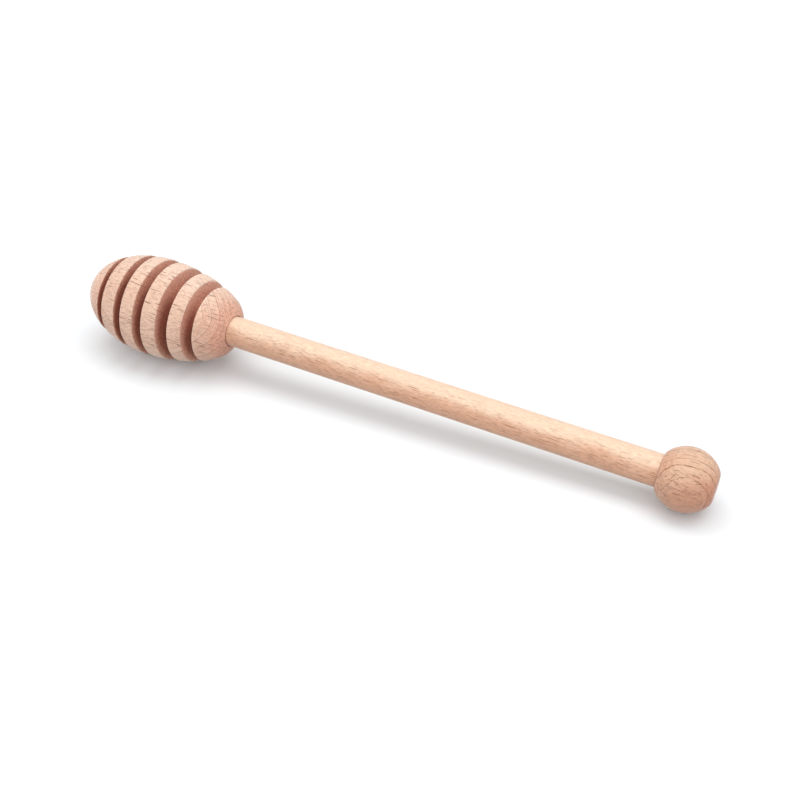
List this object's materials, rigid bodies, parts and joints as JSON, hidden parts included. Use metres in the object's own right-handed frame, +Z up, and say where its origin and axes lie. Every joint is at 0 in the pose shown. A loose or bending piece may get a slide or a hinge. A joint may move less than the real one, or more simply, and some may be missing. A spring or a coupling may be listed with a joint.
{
  "type": "honey dipper",
  "caption": "Turned wooden honey dipper: a grooved egg-shaped head on a straight dowel handle, with a small ball knob at its other end.",
  "frame": {"origin": "centre of the dipper's box at its lowest level, on the surface that it lies on", "axes": "+Z up; +X along the handle, from the head towards the knob; the turning axis leans down by about 2.2 degrees towards +X, because the head is thicker than the knob"},
  "size_m": [0.1729, 0.0264, 0.0265],
  "materials": {
    "head_beech": "bare pinkish steamed beech, sanded, with short dark ray flecks",
    "rod_beech": "bare pale beech dowel, sanded along the grain",
    "knob_beech": "bare warm beech ball with growth rings, sanded"
  },
  "bodies": {
    "root": {"grooved_head": "head_beech", "handle_rod": "rod_beech", "end_knob": "knob_beech"}
  },
  "joints": []
}
